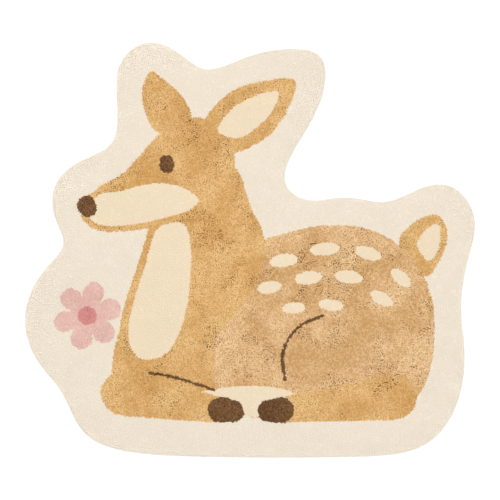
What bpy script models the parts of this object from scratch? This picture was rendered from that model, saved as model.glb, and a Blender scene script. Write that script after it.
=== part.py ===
"""A child's rug cut to the outline of a resting fawn, lying flat.

The rug is one piece: short cotton pile tufted through a canvas, trimmed to a
level height and cut out along one smooth line that keeps a hand's breadth of
plain border round the animal. The cut edge is turned under and glued, so the
outermost tufts lean outwards and round the rim off.

Metres, +Z up. X runs across the rug and Y up it, as it is looked at from
above with the fawn the right way up. The origin is on the floor, under the
middle of the rug's box.
"""
import math

import bmesh
import bpy
import numpy as np
from mathutils import Vector
from mathutils.geometry import delaunay_2d_cdt

# ---- driving dimensions ----
RUG_WIDTH = 1.100        # across X, flower to tail
RUG_DEPTH = 1.015        # along Y, border under the legs to far ear tip
RUG_THICKNESS = 0.014    # canvas, glue coat and pile together
RIM_HEIGHT = 0.0130      # where the rounded rim meets the level pile
RIM_WIDTH = 0.0120       # how far in from the reach of the pile that is

POINTS_PER_SPAN = 7      # points made between two rows of OUTLINE
PILE_GRID = 0.030        # spacing of the points that carry the uneven pile
INSIDE_ONLY = 1          # the triangulation keeps what lies within the loop
SAME_POINT = 1e-6        # points this close count as one

# The cut line: one row for each bend it takes, clockwise from the far ear.
# The smooth closed curve is drawn towards these points, not through them.
#    place                      x       y
OUTLINE = (
    ("far ear tip",          -0.250,  0.522),
    ("far ear, back",        -0.165,  0.480),
    ("between the ears",     -0.110,  0.420),
    ("near ear, top",         0.000,  0.480),
    ("near ear, top",         0.105,  0.494),
    ("near ear tip",          0.192,  0.482),
    ("near ear, underside",   0.185,  0.370),
    ("behind the nape",       0.122,  0.265),
    ("nape",                  0.062,  0.165),
    ("withers",               0.140,  0.105),
    ("back",                  0.235,  0.140),
    ("croup",                 0.335,  0.100),
    ("tail root",             0.420,  0.160),
    ("tail, top",             0.508,  0.165),
    ("tail tip",              0.566,  0.070),
    ("under the tail",        0.528, -0.030),
    ("rump",                  0.510, -0.150),
    ("rump",                  0.533, -0.260),
    ("hock",                  0.510, -0.400),
    ("behind the hind leg",   0.425, -0.500),
    ("under the hind leg",    0.270, -0.507),
    ("under the belly",       0.080, -0.510),
    ("under the foreleg",    -0.110, -0.507),
    ("under the foreleg",    -0.290, -0.502),
    ("knee",                 -0.420, -0.465),
    ("before the knee",      -0.452, -0.345),
    ("below the flower",     -0.532, -0.275),
    ("before the flower",    -0.564, -0.165),
    ("above the flower",     -0.520, -0.055),
    ("under the chin",       -0.435,  0.010),
    ("chin",                 -0.490,  0.075),
    ("nose",                 -0.485,  0.175),
    ("bridge of the nose",   -0.405,  0.225),
    ("brow",                 -0.325,  0.250),
    ("far ear, front",       -0.325,  0.350),
    ("far ear, front",       -0.335,  0.460),
)

# The rim's section, from the floor up: how far each ring stands in from the
# reach of the pile, and how high it is.
#    ring                      inset    height
RIM = (
    ("turned canvas edge",    0.0060,  0.0),
    ("foot of the tufts",     0.0020,  0.0022),
    ("reach of the pile",     0.0,     0.0055),
    ("leaning tufts",         0.0015,  0.0092),
    ("shoulder",              0.0055,  0.0118),
    ("level pile",            RIM_WIDTH, RIM_HEIGHT),
)

# Hand trimming leaves the pile a little uneven: long, low waves.
#    length   heading (degrees)   height    start (turns)
PILE_WAVES = (
    (0.52,    15.0,               0.00045,  0.10),
    (0.31,    80.0,               0.00035,  0.45),
    (0.23,   140.0,               0.00030,  0.70),
    (0.17,    50.0,               0.00020,  0.25),
)

CREAM_COTTON = (0.871, 0.768, 0.597, 1.0)
COTTON_ROUGHNESS = 0.95


def clear_scene():
    for old in list(bpy.data.objects):
        bpy.data.objects.remove(old, do_unlink=True)


def cotton_material():
    material = bpy.data.materials.new("cream cotton pile")
    material.use_nodes = True
    shader = material.node_tree.nodes["Principled BSDF"]
    shader.inputs["Base Color"].default_value = CREAM_COTTON
    shader.inputs["Roughness"].default_value = COTTON_ROUGHNESS
    shader.inputs["Metallic"].default_value = 0.0
    material.diffuse_color = CREAM_COTTON
    return material


def curve_weights(step):
    """Shares of four neighbouring rows in one point of a cubic B-spline."""
    return (
        (1 - step) ** 3 / 6,
        (3 * step ** 3 - 6 * step ** 2 + 4) / 6,
        (-3 * step ** 3 + 3 * step ** 2 + 3 * step + 1) / 6,
        step ** 3 / 6,
    )


def cut_line():
    """The rug's reach as a closed loop, centred and at its real size."""
    drawn = np.array([(x, y) for _place, x, y in OUTLINE])
    loop = []
    for row in range(len(drawn)):
        near = [drawn[(row + step) % len(drawn)] for step in (-1, 0, 1, 2)]
        for part in range(POINTS_PER_SPAN):
            weights = curve_weights(part / POINTS_PER_SPAN)
            loop.append(sum(share * point for share, point in zip(weights, near)))
    loop = np.array(loop)
    low, high = loop.min(axis=0), loop.max(axis=0)
    size = np.array([RUG_WIDTH, RUG_DEPTH])
    return (loop - (low + high) / 2) * size / (high - low)


def inset(loop, distance):
    """The clockwise loop moved inwards, each point along its own normal."""
    along = np.roll(loop, -1, axis=0) - np.roll(loop, 1, axis=0)
    along /= np.linalg.norm(along, axis=1)[:, None]
    inward = np.stack([along[:, 1], -along[:, 0]], axis=1)
    return loop + inward * distance


def pile_height(x, y):
    """The trimmed pile's height over the floor at a place on the rug."""
    height = RUG_THICKNESS
    for length, heading, wave, start in PILE_WAVES:
        turn = math.radians(heading)
        across = (x * math.cos(turn) + y * math.sin(turn)) / length
        height += wave * math.sin(2 * math.pi * (across + start))
    return height


def is_inside(point, loop):
    """Whether a point lies inside the loop, by counting the edges above it."""
    x, y = point
    after = np.roll(loop, -1, axis=0)
    spans = (loop[:, 0] > x) != (after[:, 0] > x)
    start, end = loop[spans], after[spans]
    share = (x - start[:, 0]) / (end[:, 0] - start[:, 0])
    crossings = start[:, 1] + share * (end[:, 1] - start[:, 1])
    return np.count_nonzero(crossings > y) % 2 == 1


def pile_points(loop):
    """Grid points well inside the level pile's edge."""
    low, high = loop.min(axis=0), loop.max(axis=0)
    points = []
    for x in np.arange(low[0], high[0], PILE_GRID):
        for y in np.arange(low[1], high[1], PILE_GRID):
            clear = np.linalg.norm(loop - (x, y), axis=1).min() > PILE_GRID / 2
            if clear and is_inside((x, y), loop):
                points.append((x, y))
    return points


def rug_mesh():
    """Rings up the rounded rim, the uneven pile over them, a flat underside."""
    mesh = bmesh.new()
    reach = cut_line()
    rings = []
    for _ring, distance, height in RIM:
        loop = inset(reach, distance)
        rings.append([mesh.verts.new((x, y, height)) for x, y in loop])
    count = len(reach)
    for lower, upper in zip(rings, rings[1:]):
        for this in range(count):
            after = (this + 1) % count
            mesh.faces.new((lower[after], lower[this], upper[this], upper[after]))
    mesh.faces.new(rings[0])

    level = inset(reach, RIM_WIDTH)
    inner = pile_points(level)
    spots = [Vector(point) for point in [*level, *inner]]
    around = [list(range(count))]
    placed, _edges, triangles, source, _, _ = delaunay_2d_cdt(
        spots, [], around, INSIDE_ONLY, SAME_POINT
    )
    top = []
    for point, origins in zip(placed, source):
        if origins[0] < count:
            top.append(rings[-1][origins[0]])
        else:
            top.append(mesh.verts.new((point.x, point.y, pile_height(point.x, point.y))))
    for triangle in triangles:
        mesh.faces.new([top[corner] for corner in triangle])
    bmesh.ops.triangulate(mesh, faces=mesh.faces[:])
    bmesh.ops.recalc_face_normals(mesh, faces=mesh.faces[:])
    return mesh


def make_rug():
    data = bpy.data.meshes.new("rug")
    mesh = rug_mesh()
    mesh.to_mesh(data)
    mesh.free()
    data.materials.append(cotton_material())
    data.shade_smooth()
    rug = bpy.data.objects.new("rug", data)
    bpy.context.scene.collection.objects.link(rug)
    return rug


clear_scene()
make_rug()
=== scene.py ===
import math
import random

import bmesh
import bpy
import numpy as np
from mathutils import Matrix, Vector
from mathutils.bvhtree import BVHTree
from mathutils.geometry import delaunay_2d_cdt


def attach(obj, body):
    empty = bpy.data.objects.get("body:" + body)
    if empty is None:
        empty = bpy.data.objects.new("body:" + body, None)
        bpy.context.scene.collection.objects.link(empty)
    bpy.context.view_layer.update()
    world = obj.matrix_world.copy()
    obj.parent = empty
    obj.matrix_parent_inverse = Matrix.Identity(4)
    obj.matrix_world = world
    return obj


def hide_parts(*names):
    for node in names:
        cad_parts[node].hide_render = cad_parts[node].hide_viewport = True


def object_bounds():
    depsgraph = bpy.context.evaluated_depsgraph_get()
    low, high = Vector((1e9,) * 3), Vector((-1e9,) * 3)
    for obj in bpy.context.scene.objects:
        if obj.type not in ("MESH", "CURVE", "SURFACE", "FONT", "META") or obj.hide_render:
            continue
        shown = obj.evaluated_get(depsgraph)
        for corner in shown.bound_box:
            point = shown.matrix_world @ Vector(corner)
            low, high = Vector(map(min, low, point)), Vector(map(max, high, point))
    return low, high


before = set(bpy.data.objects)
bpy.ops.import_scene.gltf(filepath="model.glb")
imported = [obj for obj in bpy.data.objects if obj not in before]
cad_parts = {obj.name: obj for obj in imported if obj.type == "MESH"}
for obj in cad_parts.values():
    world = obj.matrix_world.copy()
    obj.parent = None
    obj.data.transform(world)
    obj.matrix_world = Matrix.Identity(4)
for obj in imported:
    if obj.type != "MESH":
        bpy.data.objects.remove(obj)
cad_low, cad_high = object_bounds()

# ---- Canvas -----------------------------------------------------------------
# Plain woven cotton canvas, which all the yarn is tufted through. It is cut
# out along the rug's line, and its edge is turned under and glued to its back
# as a flat hem, which lies on the floor.
CANVAS_THICKNESS = 0.0020    # canvas, hem and glue together, at the rug's edge
CANVAS_BULGE = 0.0006        # how far the turned edge swells past the fold
HEM_WIDTH = 0.028
HEM_DEPTH = 0.0007           # from the hem up to the canvas that it is glued to
HEM_CUT = 0.0005             # how far the hem's cut edge slopes back from the floor
THREAD_PITCH = 0.0016        # from one canvas thread to the next
THREAD_RELIEF = 0.0004       # how high a thread stands over the gaps beside it
SLUBS = 60.0                 # thick places of the threads, to a metre
# painted shade: the canvas is darker in the gaps between its threads
GAP_COLOUR = (0.52, 0.44, 0.32, 1.0)
THREAD_COLOUR = (0.86, 0.79, 0.66, 1.0)
SAME_POINT = 1e-5            # points this close are one
SAME_CORNER = 1e-6           # the same for the corners of a triangulation
INSIDE = 1                   # a triangulation of this kind keeps what a loop holds


def add(tree, kind, inputs=None, **settings):
    """A node with its settings; each input is given a value or another node's output."""
    node = tree.nodes.new(kind)
    for name, value in settings.items():
        setattr(node, name, value)
    for key, value in (inputs or {}).items():
        socket = node.inputs[key]
        if isinstance(value, bpy.types.NodeSocket):
            tree.links.new(value, socket)
        else:
            socket.default_value = value
    return node


def arithmetic(tree, operation, first, second=0.0, third=0.0):
    inputs = {0: first, 1: second, 2: third}
    return add(tree, "ShaderNodeMath", inputs, operation=operation).outputs[0]


def new_material(name):
    """A material with nodes, its tree and its Principled shader."""
    material = bpy.data.materials.new(name)
    material.use_nodes = True
    tree = material.node_tree
    return material, tree, tree.nodes["Principled BSDF"]


def new_piece(name, mesh, material):
    """A finished mesh as a piece of the rug, which lies still as one body."""
    piece = bpy.data.objects.new(name, mesh)
    bpy.context.scene.collection.objects.link(piece)
    if material:
        mesh.materials.clear()
        mesh.materials.append(material)
    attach(piece, "root")
    return piece


def packed_solid():
    """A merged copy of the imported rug, as a mesh to measure from."""
    solid = bmesh.new()
    solid.from_mesh(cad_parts["rug"].data)
    bmesh.ops.remove_doubles(solid, verts=solid.verts[:], dist=SAME_POINT)
    return solid


def signed_area(loop):
    """The area in a loop of points; below zero where it runs clockwise."""
    loop = np.asarray(loop)
    ahead = np.roll(loop, -1, axis=0)
    return np.sum(loop[:, 0] * ahead[:, 1] - ahead[:, 0] * loop[:, 1]) / 2


def folded_edge(solid):
    """The line along which the rug leaves the floor, as a clockwise loop."""
    flat = [face for face in solid.faces if all(v.co.z < SAME_POINT for v in face.verts)]
    on_floor = set(flat)
    after = {}
    for face in flat:
        for corner in face.loops:
            if not any(f in on_floor for f in corner.edge.link_faces if f is not face):
                after[corner.vert] = corner.link_loop_next.vert
    start = next(iter(after))
    loop, here = [start.co.xy.copy()], after[start]
    while here is not start:
        loop.append(here.co.xy.copy())
        here = after[here]
    loop = np.array(loop)
    return loop[::-1] if signed_area(loop) > 0 else loop


def moved_out(loop, distance):
    """The clockwise loop moved outwards, each point along its own normal."""
    along = np.roll(loop, -1, axis=0) - np.roll(loop, 1, axis=0)
    along /= np.linalg.norm(along, axis=1)[:, None]
    return loop + np.stack([-along[:, 1], along[:, 0]], axis=1) * distance


def wall(mesh, lower, upper):
    """Faces between two rings of as many points, facing out of a clockwise loop."""
    faces = []
    for this in range(len(lower)):
        after = (this + 1) % len(lower)
        faces.append(mesh.faces.new((lower[after], lower[this], upper[this], upper[after])))
    return faces


def filled(mesh, ring):
    """Triangles across a level ring, all of them inside it."""
    spots = [vert.co.xy for vert in ring]
    around = [list(range(len(ring)))]
    _, _, triangles, source, _, _ = delaunay_2d_cdt(spots, [], around, INSIDE, SAME_CORNER)
    return [
        mesh.faces.new([ring[source[corner][0]] for corner in triangle])
        for triangle in triangles
    ]


solid = packed_solid()
fold = folded_edge(solid)
canvas_rim = (                   # outwards from the fold, height
    (-HEM_WIDTH - HEM_CUT, HEM_DEPTH),
    (-HEM_WIDTH, 0.0),
    (0.0, 0.0),
    (CANVAS_BULGE, CANVAS_THICKNESS / 2),
    (0.0, CANVAS_THICKNESS),
)
shape = bmesh.new()
rings = [
    [shape.verts.new((x, y, height)) for x, y in moved_out(fold, out)]
    for out, height in canvas_rim
]
for lower, upper in zip(rings, rings[1:]):
    wall(shape, lower, upper)
filled(shape, rings[0])
filled(shape, rings[-1])
bmesh.ops.triangulate(shape, faces=shape.faces[:])
bmesh.ops.recalc_face_normals(shape, faces=shape.faces[:])
canvas_mesh = bpy.data.meshes.new("canvas")
shape.to_mesh(canvas_mesh)
shape.free()

canvas_cloth, tree, shader = new_material("natural cotton canvas")
where = add(tree, "ShaderNodeTexCoord").outputs["Object"]
across = add(tree, "ShaderNodeSeparateXYZ", {0: where})
turns = math.pi / THREAD_PITCH
warp = arithmetic(tree, "SINE", arithmetic(tree, "MULTIPLY", across.outputs["X"], turns))
weft = arithmetic(tree, "SINE", arithmetic(tree, "MULTIPLY", across.outputs["Y"], turns))
over = arithmetic(tree, "MULTIPLY", warp, weft)
slub = add(tree, "ShaderNodeTexNoise", {"Vector": where, "Scale": SLUBS, "Detail": 3.0})
weave = arithmetic(tree, "MULTIPLY_ADD", arithmetic(tree, "ABSOLUTE", over), 0.55, 0.25)
lightness = arithmetic(tree, "MULTIPLY_ADD", slub.outputs[0], 0.35, weave)
roughness = arithmetic(tree, "MULTIPLY_ADD", slub.outputs[0], 0.2, 0.75)
# the thread colour, with painted shade in the gaps between the threads
threads = add(tree, "ShaderNodeMix", {0: lightness, 6: GAP_COLOUR, 7: THREAD_COLOUR}, data_type="RGBA")
relief = add(tree, "ShaderNodeBump", {"Strength": 0.6, "Distance": THREAD_RELIEF, "Height": weave})
tree.links.new(threads.outputs[2], shader.inputs["Base Color"])
tree.links.new(roughness, shader.inputs["Roughness"])
tree.links.new(relief.outputs[0], shader.inputs["Normal"])
canvas = new_piece("canvas", canvas_mesh, canvas_cloth)
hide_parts("rug")

# ---- Drawing ----------------------------------------------------------------
# The maker draws the picture on the canvas as plain areas, one for each yarn,
# and tufts them in. It is a resting fawn in side view with its head raised,
# and a flower in front of its chest. Later rows lie over earlier ones.
CURVE_STEPS = 9              # points made between two points of a drawn area
LINE_WIDTH = 0.0068          # a drawn line is two tufts wide

TAIL = (
    (0.362, 0.014), (0.402, 0.069), (0.457, 0.084), (0.479, 0.044), (0.467, -0.016), (0.422, -0.066),
)
TAIL_LINING = (
    (0.407, 0.014), (0.432, 0.052), (0.457, 0.062), (0.464, 0.034), (0.455, -0.006), (0.432, -0.026),
)
TRUNK = (
    (-0.073, 0.004), (0.042, 0.029), (0.172, 0.059), (0.292, 0.049), (0.392, -0.016), (0.444, -0.126),
    (0.444, -0.266), (0.402, -0.361), (0.292, -0.406), (0.132, -0.411), (-0.038, -0.406), (-0.178, -0.401),
    (-0.288, -0.386), (-0.333, -0.316), (-0.323, -0.216), (-0.278, -0.116), (-0.188, -0.036),
)
FAR_EAR = (
    (-0.218, 0.284), (-0.253, 0.329), (-0.263, 0.384), (-0.243, 0.434), (-0.203, 0.409), (-0.163, 0.369),
    (-0.143, 0.314),
)
NECK = (
    (-0.218, 0.184), (-0.243, 0.064), (-0.280, -0.056), (-0.316, -0.186), (-0.288, -0.286), (-0.158, -0.266),
    (-0.018, -0.136), (0.037, 0.004), (0.002, 0.104), (-0.038, 0.204), (-0.118, 0.244),
)
THROAT = (
    (-0.223, 0.054), (-0.163, 0.064), (-0.143, 0.004), (-0.148, -0.096), (-0.166, -0.186), (-0.203, -0.251),
    (-0.263, -0.266), (-0.296, -0.216), (-0.286, -0.136), (-0.258, -0.046),
)
HEAD = (
    (-0.240, 0.262), (-0.188, 0.312), (-0.123, 0.322), (-0.063, 0.292), (-0.036, 0.224), (-0.053, 0.149),
    (-0.113, 0.092), (-0.198, 0.064), (-0.283, 0.048), (-0.363, 0.046), (-0.406, 0.072), (-0.408, 0.114),
    (-0.368, 0.152), (-0.303, 0.192),
)
NEAR_EAR = (
    (-0.123, 0.269), (-0.103, 0.329), (-0.048, 0.384), (0.027, 0.409), (0.107, 0.414), (0.097, 0.354),
    (0.057, 0.289), (-0.008, 0.246), (-0.073, 0.234),
)
NEAR_EAR_LINING = (
    (-0.078, 0.289), (-0.053, 0.334), (-0.003, 0.369), (0.067, 0.386), (0.054, 0.339), (0.017, 0.299),
    (-0.028, 0.272),
)
MUZZLE = (
    (-0.370, 0.132), (-0.318, 0.142), (-0.268, 0.156), (-0.213, 0.162), (-0.158, 0.149), (-0.126, 0.122),
    (-0.153, 0.094), (-0.208, 0.078), (-0.283, 0.062), (-0.358, 0.059), (-0.390, 0.084),
)
BELLY = (
    (-0.168, -0.361), (-0.078, -0.338), (0.022, -0.331), (0.102, -0.346), (0.142, -0.386), (-0.018, -0.408),
    (-0.138, -0.401),
)
#   spots: x, y, half length, half width, turn in degrees
SPOTS = (
    (0.082, -0.026, 0.034, 0.016, 8),
    (0.182, 0.002, 0.036, 0.016, 5),
    (0.287, -0.008, 0.033, 0.016, -18),
    (0.367, -0.068, 0.030, 0.015, -42),
    (0.047, -0.091, 0.030, 0.015, 10),
    (0.142, -0.068, 0.034, 0.016, 6),
    (0.240, -0.066, 0.034, 0.016, -8),
    (0.320, -0.118, 0.030, 0.015, -30),
    (0.107, -0.141, 0.028, 0.014, 4),
    (0.197, -0.134, 0.030, 0.014, -6),
)
#   legs and hooves: from, to, radius there and there
HIND_LEG = ((0.352, -0.358), (0.087, -0.388), 0.055, 0.032)
HIND_HOOF = ((0.075, -0.389), (0.045, -0.392), 0.032, 0.027)
FORELEG = ((-0.308, -0.348), (-0.083, -0.388), 0.055, 0.032)
FORE_HOOF = ((-0.071, -0.389), (-0.041, -0.392), 0.032, 0.027)
THIGH_FOLD = ((0.085, -0.318), (0.080, -0.250), (0.115, -0.190), (0.180, -0.158))
FORELEG_FOLD = ((-0.248, -0.297), (-0.165, -0.315), (-0.085, -0.342))
EYE = (-0.203, 0.209, 0.018, 0.022, 0)
NOSE = (-0.396, 0.106, 0.023, 0.027, 30)
FLOWER_CENTRE = Vector((-0.395, -0.160))
FLOWER_RADIUS = 0.084
FLOWER_PETALS = 6
FLOWER_TURN = math.radians(15)
FLOWER_WAIST = 0.50          # how deep the gaps between petals reach, of the radius
FLOWER_ROUNDNESS = 0.55      # the lower, the fuller a petal
FLOWER_EYE_RADIUS = 0.023
SECOND_LOT_EDGE = -0.085     # left of this the tan trunk is of the other dye lot


def through(points, closed=True):
    """A smooth curve through the points, as a loop or from end to end."""
    points = [Vector(point) for point in points]
    if closed:
        points = [points[-1], *points, points[0], points[1]]
    else:
        points = [2 * points[0] - points[1], *points, 2 * points[-1] - points[-2]]
    curve = []
    for before, start, end, beyond in zip(points, points[1:], points[2:], points[3:]):
        for step in range(CURVE_STEPS):
            t = step / CURVE_STEPS
            curve.append(0.5 * (
                2 * start
                + (end - before) * t
                + (2 * before - 5 * start + 4 * end - beyond) * t ** 2
                + (3 * start - before - 3 * end + beyond) * t ** 3
            ))
    return curve if closed else [*curve, points[-2]]


def oval(x, y, half_length, half_width, turn=0):
    """A spot, wide along its turn."""
    points = 4 * CURVE_STEPS
    along = Vector((math.cos(math.radians(turn)), math.sin(math.radians(turn))))
    angles = [2 * math.pi * point / points for point in range(points)]
    return [
        Vector((x, y)) + along * half_length * math.cos(a) + along.orthogonal() * half_width * math.sin(a)
        for a in angles
    ]


def limb(start, end, start_radius, end_radius):
    """A tapering limb with round ends."""
    start, end = Vector(start), Vector(end)
    along = (end - start).normalized()
    taper = math.asin((start_radius - end_radius) / (end - start).length)
    loop = []
    for middle, radius, first, sweep in (
        (start, start_radius, math.pi / 2 - taper, math.pi + 2 * taper),
        (end, end_radius, -math.pi / 2 - taper, math.pi - 2 * taper),
    ):
        for step in range(CURVE_STEPS + 1):
            angle = first + sweep * step / CURVE_STEPS
            loop.append(middle + radius * (along * math.cos(angle) + along.orthogonal() * math.sin(angle)))
    return loop


def stroke(points):
    """A drawn line as a long thin area."""
    middle = through(points, closed=False)
    left, right = [], []
    for index, point in enumerate(middle):
        ahead = middle[min(index + 1, len(middle) - 1)] - middle[max(index - 1, 0)]
        side = ahead.normalized().orthogonal() * LINE_WIDTH / 2
        left.append(point + side)
        right.append(point - side)
    return left + right[::-1]


def petals():
    """The flower's outline: rounded petals round a centre."""
    points = FLOWER_PETALS * 2 * CURVE_STEPS
    loop = []
    for point in range(points):
        angle = 2 * math.pi * point / points
        swell = abs(math.cos(FLOWER_PETALS * angle / 2)) ** FLOWER_ROUNDNESS
        radius = FLOWER_RADIUS * (FLOWER_WAIST + (1 - FLOWER_WAIST) * swell)
        turned = angle + FLOWER_TURN
        loop.append(FLOWER_CENTRE + Vector((math.cos(turned), math.sin(turned))) * radius)
    return loop


DRAWING = (
    ("fawn", through(TAIL)),
    ("light", through(TAIL_LINING)),
    ("trunk", through(TRUNK)),
    ("fawn", through(FAR_EAR)),
    ("fawn", through(NECK)),
    ("light", through(THROAT)),
    ("fawn", through(HEAD)),
    ("fawn", through(NEAR_EAR)),
    ("light", through(NEAR_EAR_LINING)),
    ("light", through(MUZZLE)),
    *(("light", oval(*spot)) for spot in SPOTS),
    ("light", through(BELLY)),
    ("fawn", limb(*HIND_LEG)),
    ("fawn", limb(*FORELEG)),
    ("dark", limb(*HIND_HOOF)),
    ("dark", limb(*FORE_HOOF)),
    ("dark", stroke(THIGH_FOLD)),
    ("dark", stroke(FORELEG_FOLD)),
    ("dark", oval(*EYE)),
    ("dark", oval(*NOSE)),
    ("petal", petals()),
    ("flower eye", oval(*FLOWER_CENTRE, FLOWER_EYE_RADIUS, FLOWER_EYE_RADIUS)),
)

# ---- Foot of the pile -------------------------------------------------------
# Below their tips the tufts stand so close that they make one solid bed of
# yarn, coloured as the drawing says and rounded off along the rug's rim.
TUFT_LENGTH = 0.0028         # the part of a tuft that stands clear of the bed
BED_DEPTH = 0.0030           # from the top of the pile down to the bed
BED_GRID = 0.018             # spacing of the points that carry the uneven pile
BED_FLOOR = CANVAS_THICKNESS + 0.0001    # a hair above the canvas
#   rim of the bed: outwards from the fold, height
BED_RIM = (
    (-0.0010, BED_FLOOR),
    (0.0016, 0.0038),
    (0.0014, 0.0064),
    (-0.0010, 0.0086),
)
BED_EDGE = -0.0046           # where the bed's level top starts
RIM_DIP = 0.0003             # how much lower that edge is than the bed beside it
BORDER_SPLIT_X = -0.07       # the border is made in three lengths,
BORDER_SPLIT_Y = -0.30
TRUNK_SPLIT_X = 0.19         # the trunk in two parts,
FAWN_SPLIT_Y = 0.0           # and the rest of the fawn's tan in two
KEEP_ALL = 0                 # a triangulation of this kind fills all between its points
LEVEL_TOP = 0                # which of its loops holds the bed's level top
NO_FIELD = -1                # of the bed's underside, which bears no tufts
FIELDS = (
    "rim", "border left", "border right", "border below", "trunk front", "trunk rear", "fawn above",
    "fawn below", "light", "dark", "petal", "flower eye",
)

tree_of_top = BVHTree.FromBMesh(solid)
solid.free()


def pile_top(x, y):
    """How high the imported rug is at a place."""
    return tree_of_top.find_nearest(Vector((x, y, cad_high.z)))[0].z


def is_inside(x, y, loop):
    """Whether a point lies inside the loop, by counting the edges above it."""
    ahead = np.roll(loop, -1, axis=0)
    spans = (loop[:, 0] > x) != (ahead[:, 0] > x)
    start, end = loop[spans], ahead[spans]
    share = (x - start[:, 0]) / (end[:, 0] - start[:, 0])
    crossings = start[:, 1] + share * (end[:, 1] - start[:, 1])
    return np.count_nonzero(crossings > y) % 2 == 1


def field_of(area, x, y):
    """The field that a place belongs to, from the drawn area that covers it."""
    if area is None:
        if y < BORDER_SPLIT_Y:
            return "border below"
        return "border left" if x < BORDER_SPLIT_X else "border right"
    if area == "trunk" and x >= SECOND_LOT_EDGE:
        return "trunk front" if x < TRUNK_SPLIT_X else "trunk rear"
    if area in ("trunk", "fawn"):
        return "fawn below" if y < FAWN_SPLIT_Y else "fawn above"
    return area


level = moved_out(fold, BED_EDGE)
loops = [level, *(area for _name, area in DRAWING)]
seam = [(x, y) for x in (SECOND_LOT_EDGE, TRUNK_SPLIT_X) for y in (cad_low.y, cad_high.y)]
spots, outlines = [], []
for loop in loops:
    outlines.append(list(range(len(spots), len(spots) + len(loop))))
    spots.extend(Vector(point) for point in (loop if signed_area(loop) > 0 else loop[::-1]))
seam_edges = [(len(spots), len(spots) + 1), (len(spots) + 2, len(spots) + 3)]
spots.extend(Vector(point) for point in seam)
for x in np.arange(cad_low.x, cad_high.x, BED_GRID):
    for y in np.arange(cad_low.y, cad_high.y, BED_GRID):
        if np.linalg.norm(level - (x, y), axis=1).min() > BED_GRID / 2 and is_inside(x, y, level):
            spots.append(Vector((x, y)))
placed, _, triangles, _, _, covers = delaunay_2d_cdt(
    spots, seam_edges, outlines, KEEP_ALL, SAME_CORNER
)

bed = bmesh.new()
field_layer = bed.faces.layers.int.new("field")
rings = []
for out, height in BED_RIM:
    rings.append([bed.verts.new((x, y, height)) for x, y in moved_out(fold, out)])
rim_faces = [face for lower, upper in zip(rings, rings[1:]) for face in wall(bed, lower, upper)]
edge_ring = [bed.verts.new((x, y, pile_top(x, y) - BED_DEPTH - RIM_DIP)) for x, y in level]
rim_faces += wall(bed, rings[-1], edge_ring)
for face in rim_faces:
    face[field_layer] = FIELDS.index("rim")
    face.smooth = True
for face in filled(bed, rings[0]):
    face[field_layer] = NO_FIELD
top = {}
for triangle, cover in zip(triangles, covers):
    if LEVEL_TOP not in cover:
        continue
    corners = []
    for corner in triangle:
        if corner not in top:
            x, y = placed[corner]
            nearest = np.linalg.norm(level - (x, y), axis=1)
            if nearest.min() < SAME_POINT:
                top[corner] = edge_ring[int(nearest.argmin())]
            else:
                top[corner] = bed.verts.new((x, y, pile_top(x, y) - BED_DEPTH))
        corners.append(top[corner])
    face = bed.faces.new(corners)
    middle = face.calc_center_median()
    drawn = max(cover)
    area = DRAWING[drawn - 1][0] if drawn else None
    face[field_layer] = FIELDS.index(field_of(area, middle.x, middle.y))
    face.smooth = True
bmesh.ops.triangulate(bed, faces=bed.faces[:])
bmesh.ops.recalc_face_normals(bed, faces=bed.faces[:])
bed_mesh = bpy.data.meshes.new("pile_foot")
bed.to_mesh(bed_mesh)
bed.free()

# ---- Border -----------------------------------------------------------------
# Cream cotton yarn all round the fawn. Each tuft is a cut end of soft two-ply
# yarn that opens out, so that neighbours press together. The outermost ones
# lean out over the rim.
TUFT_PITCH = 0.0035          # the least distance between two tufts
RIM_PITCH = 0.0026           # the same over the rim, where their tips fan out
TRIES = 12.0                 # places tried for each one kept, for an even cover
PLY_SIDES = 5
SUNK = 0.15                  # how far a tuft's foot goes into the bed, of its length
SHOULDER = 0.76              # how high up a ply is widest, of its length
ROUGH_CUT = 0.12             # unevenness of a cut end, of the radius and height
PLY_GATHER = 0.6             # how far apart plies start, as a share of the places given,
PLY_SPLAY = 0.6              # and how much farther apart their tips are
LAID_OUT = 0.0010            # from a ply's tip to its shoulder on the bake map
WIDTH_SPREAD = 0.10          # how much wider or narrower a tuft may be
LENGTH_SPREAD = 0.10         # how much longer or shorter
TUFT_LEAN = 0.16             # how far tips are off upright, of the length
LEAST_RISE = 0.45            # the rim's tufts lean out no flatter than this
PATCH_SIZE = 0.11            # the pile leans alike over patches this wide
PATCH_LEAN = 4.0             # how strongly a patch leans,
CLUMPS = 7.0                 # how many clumps go across it,
CLUMP_LEAN = 3.0             # and how strongly each of them leans
PARTINGS = 12.0              # places where the pile parts, to a metre
PARTING_FROM = 0.48          # the noise of those places where parting sets in,
PARTING_TO = 0.70            # and where it is complete
LOCK_WIDTH = 0.013           # where the pile has parted, it lies in locks this wide
LOCK_LENGTH = 0.034
LOCK_TURN = math.radians(-55)
#   the cream yarns are trimmed the most evenly
CREAM_CUT = {"Parting": 0.2, "Lean": 0.06, "Length Spread": 0.03}
TUFT_SEED = 7
#   a tuft's random numbers, each told apart by what it adds to the seed
SPIN, WIDTH, BREADTH, LENGTH, SHADE, KIND = 11, 21, 31, 41, 51, 61


def stepped(tree, value, low, high):
    """A soft step from 0 to 1 while the value goes from low to high."""
    inputs = {"Value": value, "From Min": low, "From Max": high}
    return add(tree, "ShaderNodeMapRange", inputs, interpolation_type="SMOOTHSTEP").outputs[0]


def parted_share(tree, where):
    """From 0 to 1, how far the pile has parted at a place."""
    places = add(tree, "ShaderNodeTexNoise", {
        "Vector": where, "Scale": PARTINGS, "Detail": 3.0, "Roughness": 0.7, "Distortion": 0.8,
    })
    return stepped(tree, places.outputs[0], PARTING_FROM, PARTING_TO)


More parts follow.
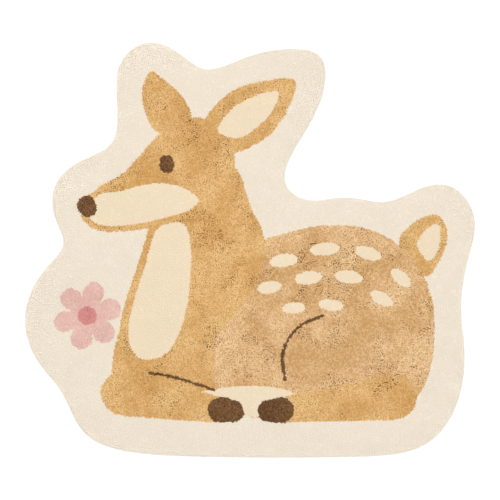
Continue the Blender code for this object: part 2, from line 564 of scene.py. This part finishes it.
def ply(mesh, middle, radius, height, rough):
    """One closed ply of yarn: it widens from its foot to a shoulder and ends in a low tip."""
    depth = mesh.verts.layers.float["depth"]
    flat = mesh.loops.layers.float_vector["flat"]
    turn = rough.uniform(0, 2 * math.pi)

    def point(level, out, laid):
        place = middle * (PLY_GATHER + PLY_SPLAY * level) + out
        vert = mesh.verts.new(place + Vector((0, 0, level * height)))
        vert[depth] = max(level, 0.0)
        return vert, middle + laid

    def face(*corners):
        made = mesh.faces.new([vert for vert, _laid in corners])
        for corner, (_vert, laid) in zip(made.loops, corners):
            corner[flat] = laid

    angles = [turn + 2 * math.pi * side / PLY_SIDES for side in range(PLY_SIDES)]
    ways = [Vector((math.cos(angle), math.sin(angle), 0)) for angle in angles]
    root, _laid = point(-SUNK, Vector(), Vector())
    tip = point(1.0, Vector(), Vector())
    shoulder = []
    for way in ways:
        reach = radius * (1 + rough.uniform(-ROUGH_CUT, ROUGH_CUT))
        level = SHOULDER * (1 + rough.uniform(-ROUGH_CUT, ROUGH_CUT) / 2)
        shoulder.append(point(level, way * reach, way * LAID_OUT))
    for side in range(PLY_SIDES):
        after = (side + 1) % PLY_SIDES
        below = middle + (ways[side] + ways[after]) * LAID_OUT
        face((root, below), shoulder[after], shoulder[side])
        face(shoulder[side], shoulder[after], tip)


def tuft_object(name, plies, seed):
    """A tuft of a few plies, as something to place copies of."""
    rough = random.Random(seed)
    mesh = bmesh.new()
    mesh.verts.layers.float.new("depth")
    mesh.loops.layers.float_vector.new("flat")
    for middle, radius, height in plies:
        ply(mesh, Vector((*middle, 0)), radius, height * TUFT_LENGTH, rough)
    data = bpy.data.meshes.new(name)
    mesh.to_mesh(data)
    mesh.free()
    made = bpy.data.objects.new(name, data)
    bpy.context.scene.collection.objects.link(made)
    return made


#   for each ply: where its middle stands, radius, height as a share of the tuft's
first_tuft = tuft_object("first_tuft", [
    ((-0.0012, 0.0004), 0.0020, 1.0),
    ((0.0011, -0.0006), 0.0020, 0.94),
], seed=3)
second_tuft = tuft_object("second_tuft", [
    ((-0.0011, -0.0005), 0.0021, 1.03),
    ((0.0011, 0.0006), 0.0021, 0.95),
], seed=5)


def tufting():
    """Geometry Nodes that tuft one field of the bed with one yarn."""
    tree = bpy.data.node_groups.new("tufting", "GeometryNodeTree")
    sockets = tree.interface
    sockets.new_socket("Bed", in_out="INPUT", socket_type="NodeSocketGeometry")
    for name, kind in (
        ("Field", "Int"), ("Pitch", "Float"), ("Lean", "Float"), ("Parting", "Float"),
        ("Length Spread", "Float"), ("Patch Size", "Float"), ("Seed", "Int"), ("First Tuft", "Object"),
        ("Second Tuft", "Object"), ("Yarn", "Material"),
    ):
        sockets.new_socket(name, in_out="INPUT", socket_type="NodeSocket" + kind)
    sockets.new_socket("Pile", in_out="OUTPUT", socket_type="NodeSocketGeometry")
    given = add(tree, "NodeGroupInput").outputs

    def vector(operation, first, second=(0, 0, 0), scale=1.0):
        inputs = {0: first, 1: second} if operation != "SCALE" else {0: first, "Scale": scale}
        return add(tree, "ShaderNodeVectorMath", inputs, operation=operation).outputs[0]

    def between(low, high, added):
        seed = arithmetic(tree, "ADD", given["Seed"], added)
        inputs = {2: low, 3: high, "Seed": seed}
        return add(tree, "FunctionNodeRandomValue", inputs, data_type="FLOAT").outputs[1]

    def named(name, kind):
        return add(tree, "GeometryNodeInputNamedAttribute", {0: name}, data_type=kind).outputs[0]

    def stored(geometry, name, value, kind, domain="POINT"):
        inputs = {"Geometry": geometry, "Name": name, "Value": value}
        node = add(tree, "GeometryNodeStoreNamedAttribute", inputs, data_type=kind, domain=domain)
        return node.outputs[0]

    # Places all over the bed, so that fields meet without a gap, and of them one field's.
    area = arithmetic(tree, "MULTIPLY", given["Pitch"], given["Pitch"])
    scatter = add(tree, "GeometryNodeDistributePointsOnFaces", {
        "Mesh": given["Bed"],
        "Distance Min": given["Pitch"],
        "Density Max": arithmetic(tree, "DIVIDE", TRIES, area),
        "Seed": given["Seed"],
    }, distribute_method="POISSON")
    in_field = add(tree, "FunctionNodeCompare", {2: named("field", "INT"), 3: given["Field"]},
                   data_type="INT", operation="EQUAL")
    kept = add(tree, "GeometryNodeSeparateGeometry", {
        "Geometry": scatter.outputs["Points"], "Selection": in_field.outputs[0],
    }, domain="POINT")
    place = add(tree, "GeometryNodeInputPosition").outputs[0]
    points = stored(kept.outputs[0], "root", place, "FLOAT_VECTOR")

    # A tuft leans with its patch and its clump, a little its own way, and with its lock.
    root = named("root", "FLOAT_VECTOR")
    patches = add(tree, "ShaderNodeTexNoise", {
        "Vector": root, "Scale": arithmetic(tree, "DIVIDE", 1.0, given["Patch Size"]), "Detail": 2.0,
    })
    clumps = add(tree, "ShaderNodeTexNoise", {
        "Vector": root, "Scale": arithmetic(tree, "DIVIDE", CLUMPS, given["Patch Size"]), "Detail": 1.0,
    })
    middle = (0.5, 0.5, 0.5)
    drift = vector("SCALE", vector("SUBTRACT", patches.outputs["Color"], middle), scale=PATCH_LEAN)
    ruffle = vector("SCALE", vector("SUBTRACT", clumps.outputs["Color"], middle), scale=CLUMP_LEAN)
    own_way = add(tree, "FunctionNodeRandomValue", {
        0: (-1, -1, -0.3), 1: (1, 1, 0.3), "Seed": given["Seed"],
    }, data_type="FLOAT_VECTOR").outputs[0]
    bent = vector("SCALE", vector("ADD", vector("ADD", drift, ruffle), own_way), scale=given["Lean"])
    turned_back = add(tree, "ShaderNodeVectorRotate", {"Vector": root, "Angle": -LOCK_TURN},
                      rotation_type="Z_AXIS")
    in_locks = vector("DIVIDE", turned_back.outputs[0], (LOCK_WIDTH, LOCK_LENGTH, 1.0))
    locks = add(tree, "ShaderNodeTexNoise", {"Vector": in_locks, "Scale": 1.0, "Distortion": 0.6})
    sideways = arithmetic(tree, "SUBTRACT", locks.outputs[0], 0.5)
    sideways = arithmetic(tree, "MULTIPLY", sideways, parted_share(tree, root))
    sideways = arithmetic(tree, "MULTIPLY", sideways, given["Parting"])
    parted = vector("SCALE", (math.cos(LOCK_TURN), math.sin(LOCK_TURN), 0), scale=sideways)
    bent = vector("ADD", bent, parted)
    way = add(tree, "ShaderNodeSeparateXYZ", {0: vector("ADD", scatter.outputs["Normal"], bent)}).outputs
    way = add(tree, "ShaderNodeCombineXYZ", {
        "X": way["X"], "Y": way["Y"], "Z": arithmetic(tree, "MAXIMUM", way["Z"], LEAST_RISE),
    }).outputs[0]
    upright = add(tree, "FunctionNodeAlignRotationToVector", {"Vector": way}, axis="Z")
    spin = add(tree, "ShaderNodeCombineXYZ", {"Z": between(0.0, 2 * math.pi, SPIN)})
    spin = add(tree, "FunctionNodeEulerToRotation", {0: spin.outputs[0]})
    turned = add(tree, "FunctionNodeRotateRotation", {
        "Rotation": upright.outputs[0], "Rotate By": spin.outputs[0],
    }, rotation_space="LOCAL")
    shortest = arithmetic(tree, "SUBTRACT", 1.0, given["Length Spread"])
    longest = arithmetic(tree, "ADD", 1.0, given["Length Spread"])
    size = add(tree, "ShaderNodeCombineXYZ", {
        "X": between(1 - WIDTH_SPREAD, 1 + WIDTH_SPREAD, WIDTH),
        "Y": between(1 - WIDTH_SPREAD, 1 + WIDTH_SPREAD, BREADTH),
        "Z": between(shortest, longest, LENGTH),
    })

    # One of the two kinds of tuft at each place, turned into one mesh.
    points = stored(points, "shade", between(-1.0, 1.0, SHADE), "FLOAT")
    tufts = add(tree, "GeometryNodeJoinGeometry")
    for name in ("First Tuft", "Second Tuft"):
        source = add(tree, "GeometryNodeObjectInfo", {"Object": given[name], "As Instance": True})
        tree.links.new(source.outputs["Geometry"], tufts.inputs[0])
    which = arithmetic(tree, "GREATER_THAN", between(0.0, 1.0, KIND), 0.5)
    placed = add(tree, "GeometryNodeInstanceOnPoints", {
        "Points": points, "Instance": tufts.outputs[0], "Pick Instance": True, "Instance Index": which,
        "Rotation": turned.outputs[0], "Scale": size.outputs[0],
    })
    real = add(tree, "GeometryNodeRealizeInstances", {0: placed.outputs[0]}).outputs[0]

    # A map to bake the yarn on, with each ply laid out flat round its tuft's place.
    laid = vector("ADD", root, named("flat", "FLOAT_VECTOR"))
    extent = add(tree, "GeometryNodeAttributeStatistic", {"Geometry": real, "Attribute": laid},
                 data_type="FLOAT_VECTOR", domain="CORNER")
    on_map = vector("DIVIDE", vector("SUBTRACT", laid, extent.outputs["Min"]),
                    vector("ADD", extent.outputs["Range"], (0, 0, 1)))
    real = stored(real, "OFBake", on_map, "FLOAT2", "CORNER")
    smooth = add(tree, "GeometryNodeSetShadeSmooth", {"Geometry": real})
    dyed_and_shaded = add(tree, "GeometryNodeSetMaterial", {"Geometry": smooth.outputs[0], "Material": given["Yarn"]})
    add(tree, "NodeGroupOutput", {0: dyed_and_shaded.outputs[0]})
    return tree


tufting_tree = tufting()
CLOUDS = 10.0                # clouds of lighter and darker painted shading, where the pile leans alike, to a metre
FIBRES = 1400.0              # single fibres, to a metre
FIBRE_RELIEF = 0.0006        # how far they stand out
PACKED_ENDS = 460.0          # ends of yarn that show in parted pile, to a metre
HOLLOW_REACH = 0.12          # how high up a tuft the hollows and their painted shade show, of its length
FOOT_REACH = 0.85            # how high up it the foot's painted tone reaches, shade in dark-footed yarns and light in light-footed ones


def yarn(name, tip, root, cloud, parted, fleck):
    """Matte cotton yarn, each tuft a little its own, in soft clouds of painted shading where the pile leans
    alike.

    Its foot has another tone: painted shade between the tufts, and in yarns whose foot is lighter than the
    tip, painted light that evens that shade out. Where the pile has parted, the foot has the parted tone,
    painted the same way, and shows packed ends of yarn with painted shade in the hollows between them.
    Lighter tufts are paler too.
    """
    material, tree, shader = new_material(name)
    where = add(tree, "ShaderNodeTexCoord").outputs["Object"]
    depth = add(tree, "ShaderNodeAttribute", attribute_name="depth").outputs["Fac"]
    shade = add(tree, "ShaderNodeAttribute", attribute_name="shade").outputs["Fac"]
    clouds = add(tree, "ShaderNodeTexNoise", {
        "Vector": where, "Scale": CLOUDS, "Detail": 3.0, "Roughness": 0.6,
    })
    fibres = add(tree, "ShaderNodeTexNoise", {"Vector": where, "Scale": FIBRES, "Detail": 2.0})
    opened = parted_share(tree, where)
    packed = add(tree, "ShaderNodeTexVoronoi", {"Vector": where, "Scale": PACKED_ENDS})
    # hollows between packed yarn ends near the foot, most where the pile has parted; they get painted shade
    # and a bump
    hollow = stepped(tree, packed.outputs["Distance"], 0.25, 0.70)
    hollow = arithmetic(tree, "MULTIPLY", hollow, stepped(tree, depth, HOLLOW_REACH, 0.0))
    hollow = arithmetic(tree, "MULTIPLY", hollow, arithmetic(tree, "MULTIPLY_ADD", opened, 0.8, 0.2))
    # the tip colour in clouds of the cloud colour: painted shading of pile that leans alike
    dyed_and_shaded = add(tree, "ShaderNodeMix", {
        0: stepped(tree, clouds.outputs[0], 0.36, 0.64), 6: (*tip, 1.0), 7: (*cloud, 1.0),
    }, data_type="RGBA")
    # the foot's tone: painted shade between the tufts where it is darker than the tip, painted light where
    # it is lighter; the parted tone likewise where the pile has parted
    foot = add(tree, "ShaderNodeMix", {0: opened, 6: (*root, 1.0), 7: (*parted, 1.0)}, data_type="RGBA")
    whole = add(tree, "ShaderNodeMix", {
        0: stepped(tree, depth, 0.0, FOOT_REACH), 6: foot.outputs[2], 7: dyed_and_shaded.outputs[2],
    }, data_type="RGBA")
    paler = add(tree, "ShaderNodeGamma", {
        "Color": whole.outputs[2], "Gamma": arithmetic(tree, "MULTIPLY_ADD", shade, -fleck, 1.0),
    })
    value = arithmetic(tree, "MULTIPLY_ADD", shade, fleck / 4, 0.85)
    value = arithmetic(tree, "MULTIPLY_ADD", fibres.outputs[0], 0.30, value)
    # painted shade: darker in the hollows
    value = arithmetic(tree, "MULTIPLY_ADD", hollow, -2 * fleck, value)
    tinted = add(tree, "ShaderNodeVectorMath", {0: paler.outputs[0], "Scale": value}, operation="SCALE")
    height = arithmetic(tree, "MULTIPLY_ADD", hollow, -6 * fleck, fibres.outputs[0])
    fuzz = add(tree, "ShaderNodeBump", {"Strength": 0.8, "Distance": FIBRE_RELIEF, "Height": height})
    roughness = arithmetic(tree, "MULTIPLY_ADD", fibres.outputs[0], 0.2, 0.8)
    tree.links.new(tinted.outputs[0], shader.inputs["Base Color"])
    tree.links.new(roughness, shader.inputs["Roughness"])
    tree.links.new(fuzz.outputs[0], shader.inputs["Normal"])
    shader.inputs["Sheen Weight"].default_value = 0.3
    shader.inputs["Sheen Roughness"].default_value = 0.6
    shader.inputs["Sheen Tint"].default_value = (*tip, 1.0)
    shader.inputs["Specular IOR Level"].default_value = 0.2
    return material


ground = bpy.data.objects.new("tufting_ground", bed_mesh)
bpy.context.scene.collection.objects.link(ground)
socket_names = {item.name: item.identifier for item in tufting_tree.interface.items_tree}


def tufted(name, field, material, slot, **changes):
    """One field of the drawing, tufted in its yarn, as a finished piece."""
    tool = ground.modifiers.new("tufting", "NODES")
    tool.node_group = tufting_tree
    settings = {
        "Field": FIELDS.index(field), "Pitch": TUFT_PITCH, "Lean": TUFT_LEAN, "Parting": 1.0,
        "Length Spread": LENGTH_SPREAD, "Patch Size": PATCH_SIZE, "Seed": TUFT_SEED,
        "First Tuft": first_tuft, "Second Tuft": second_tuft, "Yarn": material, **changes,
    }
    for socket, value in settings.items():
        tool[socket_names[socket]] = value
    ground.update_tag()
    view = bpy.context.evaluated_depsgraph_get()
    mesh = bpy.data.meshes.new_from_object(ground.evaluated_get(view))
    ground.modifiers.remove(tool)
    mesh.name = name
    for spare in ("root", "flat", "field", "id"):
        if spare in mesh.attributes:
            mesh.attributes.remove(mesh.attributes[spare])
    return new_piece(name, mesh, material)


# its foot and parted tones are lighter than its tip: painted light against the shade between the tufts
cream_yarn = yarn(
    "cream cotton",
    tip=(0.835, 0.755, 0.635), cloud=(0.82, 0.74, 0.62),
    root=(0.91, 0.84, 0.74), parted=(0.88, 0.80, 0.69),
    fleck=0.02,
)
piles = [
    tufted("rim", "rim", cream_yarn, "cream_pile", Pitch=RIM_PITCH, Parting=0.0),
    tufted("border_left", "border left", cream_yarn, "cream_pile", **CREAM_CUT),
    tufted("border_right", "border right", cream_yarn, "cream_pile", **CREAM_CUT),
    tufted("border_below", "border below", cream_yarn, "cream_pile", **CREAM_CUT),
]

# ---- Trunk ------------------------------------------------------------------
# The fawn's back and haunch in a pale tan yarn. Like all the tan yarn, it has parted in places, and its
# foot, painted darker as shade between the tufts, shows there as short strokes.
TAN_PARTING = 3.0            # how far its locks lean apart, with brown and pink yarn at 1
# its foot and parted tones are darker than its tip: painted shade between the tufts
pale_tan_yarn = yarn(
    "pale tan cotton",
    tip=(0.80, 0.555, 0.305), cloud=(0.67, 0.41, 0.182),
    root=(0.62, 0.35, 0.13), parted=(0.22, 0.080, 0.014),
    fleck=0.17,
)
piles += [
    tufted("trunk_front", "trunk front", pale_tan_yarn, "pale_tan_pile", Parting=TAN_PARTING),
    tufted("trunk_rear", "trunk rear", pale_tan_yarn, "pale_tan_pile", Parting=TAN_PARTING),
]

# ---- Head, neck, legs and tail ----------------------------------------------
# The second dye lot of tan, more golden than the first. It also fills the
# chest, up to the straight line where the two lots meet.
# its foot and parted tones are darker than its tip: painted shade between the tufts
tan_yarn = yarn(
    "golden tan cotton",
    tip=(0.78, 0.515, 0.228), cloud=(0.67, 0.39, 0.138),
    root=(0.62, 0.335, 0.095), parted=(0.23, 0.070, 0.008),
    fleck=0.13,
)
piles += [
    tufted("upper_fawn", "fawn above", tan_yarn, "tan_pile", Parting=TAN_PARTING),
    tufted("lower_fawn", "fawn below", tan_yarn, "tan_pile", Parting=TAN_PARTING),
]

# ---- Light patches ----------------------------------------------------------
# Muzzle, throat, belly, linings of the near ear and tail, and the spots, in a
# cream yarn that is a little warmer than the border's.
# its foot and parted tones are lighter than its tip: painted light against the shade between the tufts
light_yarn = yarn(
    "warm cream cotton",
    tip=(0.835, 0.71, 0.53), cloud=(0.835, 0.715, 0.53),
    root=(0.91, 0.80, 0.64), parted=(0.88, 0.76, 0.57),
    fleck=0.02,
)
piles.append(tufted("light_patches", "light", light_yarn, "cream_pile", **CREAM_CUT))

# ---- Dark marks -------------------------------------------------------------
# Eye, nose and hooves, and the lines where the legs fold, which are two tufts
# wide, in dark brown yarn.
# its foot and parted tones are darker than its tip: painted shade between the tufts
brown_yarn = yarn(
    "dark brown cotton",
    tip=(0.21, 0.103, 0.040), cloud=(0.16, 0.076, 0.030),
    root=(0.09, 0.040, 0.014), parted=(0.05, 0.02, 0.008),
    fleck=0.10,
)
piles.append(tufted("dark_marks", "dark", brown_yarn, "brown_pile"))

# ---- Flower -----------------------------------------------------------------
# Six round petals in pink yarn and a round eye in a deeper pink, tufted in the
# border in front of the chest.
# its foot is lighter than its tip, painted light against the shade between the tufts, and its parted tone
# darker, painted shade
pink_yarn = yarn(
    "pink cotton",
    tip=(0.80, 0.55, 0.475), cloud=(0.73, 0.465, 0.415),
    root=(0.90, 0.63, 0.57), parted=(0.74, 0.44, 0.39),
    fleck=0.10,
)
# its foot a touch darker than its tip and its parted tone darker: painted shade between the tufts
rose_yarn = yarn(
    "rose cotton",
    tip=(0.70, 0.305, 0.28), cloud=(0.66, 0.275, 0.25),
    root=(0.70, 0.29, 0.27), parted=(0.55, 0.18, 0.165),
    fleck=0.08,
)
piles += [
    tufted("petals", "petal", pink_yarn, "pink_pile"),
    tufted("flower_eye", "flower eye", rose_yarn, "pink_pile"),
]

# ---- Foot of the pile, finished ---------------------------------------------
# With all the yarns in, the bed takes the material of the yarn above it, and shows that yarn's foot tone:
# painted shade deep between the tufts, and painted light where a yarn's foot is lighter. The canvas is the
# sheet that carries the bed and every pile.
for spare in (ground, first_tuft, second_tuft):
    bpy.data.objects.remove(spare)
yarns = {
    "rim": cream_yarn, "border left": cream_yarn, "border right": cream_yarn, "border below": cream_yarn,
    "trunk front": pale_tan_yarn, "trunk rear": pale_tan_yarn,
    "fawn above": tan_yarn, "fawn below": tan_yarn,
    "light": light_yarn, "dark": brown_yarn, "petal": pink_yarn, "flower eye": rose_yarn,
}
foot = new_piece("pile_foot", bed_mesh, None)
for field in FIELDS:
    bed_mesh.materials.append(yarns[field])
fields_of_faces = np.empty(len(bed_mesh.polygons), np.int32)
bed_mesh.attributes["field"].data.foreach_get("value", fields_of_faces)
bed_mesh.polygons.foreach_set("material_index", fields_of_faces.clip(0))

# ---- Studio -----------------------------------------------------------------
# A plain pale floor under soft light from two boxes and from all round, and a
# camera straight above.
FLOOR_SIDE = 60.0            # so wide that its far edge is a level line from low down
FLOOR_GAP = 0.0003           # from the floor up to the rug
VIEW_WIDTH = 1.222           # of the floor, across the picture
LENS = 80.0                  # in millimetres, as is the next
SENSOR = 36.0
WORLD_LIGHT = 0.75

floor_mesh = bpy.data.meshes.new("floor")
half = FLOOR_SIDE / 2
corners = [(x, y, -FLOOR_GAP) for x, y in ((-half, -half), (half, -half), (half, half), (-half, half))]
floor_mesh.from_pydata(corners, [], [(0, 1, 2, 3)])
floor = bpy.data.objects.new("floor", floor_mesh)
bpy.context.scene.collection.objects.link(floor)
floor_paint, tree, shader = new_material("pale floor")
where = add(tree, "ShaderNodeTexCoord").outputs["Object"]
grain = add(tree, "ShaderNodeTexNoise", {"Vector": where, "Scale": 3.0, "Detail": 2.0})
paint = add(tree, "ShaderNodeMix", {
    0: grain.outputs[0], 6: (0.90, 0.90, 0.90, 1.0), 7: (0.93, 0.93, 0.93, 1.0),
}, data_type="RGBA")
tree.links.new(paint.outputs[2], shader.inputs["Base Color"])
shader.inputs["Roughness"].default_value = 0.9
floor_mesh.materials.append(floor_paint)


def soft_light(name, place, side, power):
    """A square soft box that faces the middle of the rug."""
    data = bpy.data.lights.new(name, "AREA")
    data.shape = "SQUARE"
    data.size = side
    data.energy = power
    light = bpy.data.objects.new(name, data)
    light.location = place
    light.rotation_euler = (-Vector(place)).to_track_quat("-Z", "Y").to_euler()
    bpy.context.scene.collection.objects.link(light)


soft_light("key", place=(-0.9, 1.1, 3.2), side=1.8, power=60.0)
soft_light("fill", place=(1.6, -1.0, 3.2), side=2.4, power=46.0)
world = bpy.data.worlds.new("studio")
world.use_nodes = True
sky = world.node_tree.nodes["Background"]
sky.inputs["Color"].default_value = (1.0, 1.0, 1.0, 1.0)
sky.inputs["Strength"].default_value = WORLD_LIGHT
bpy.context.scene.world = world
bpy.context.scene.view_settings.view_transform = "Standard"

lens = bpy.data.cameras.new("camera")
lens.lens = LENS
lens.sensor_width = SENSOR
camera = bpy.data.objects.new("camera", lens)
middle = (cad_low + cad_high) / 2
camera.location = (middle.x, middle.y, VIEW_WIDTH * LENS / SENSOR)
bpy.context.scene.collection.objects.link(camera)
bpy.context.scene.camera = camera
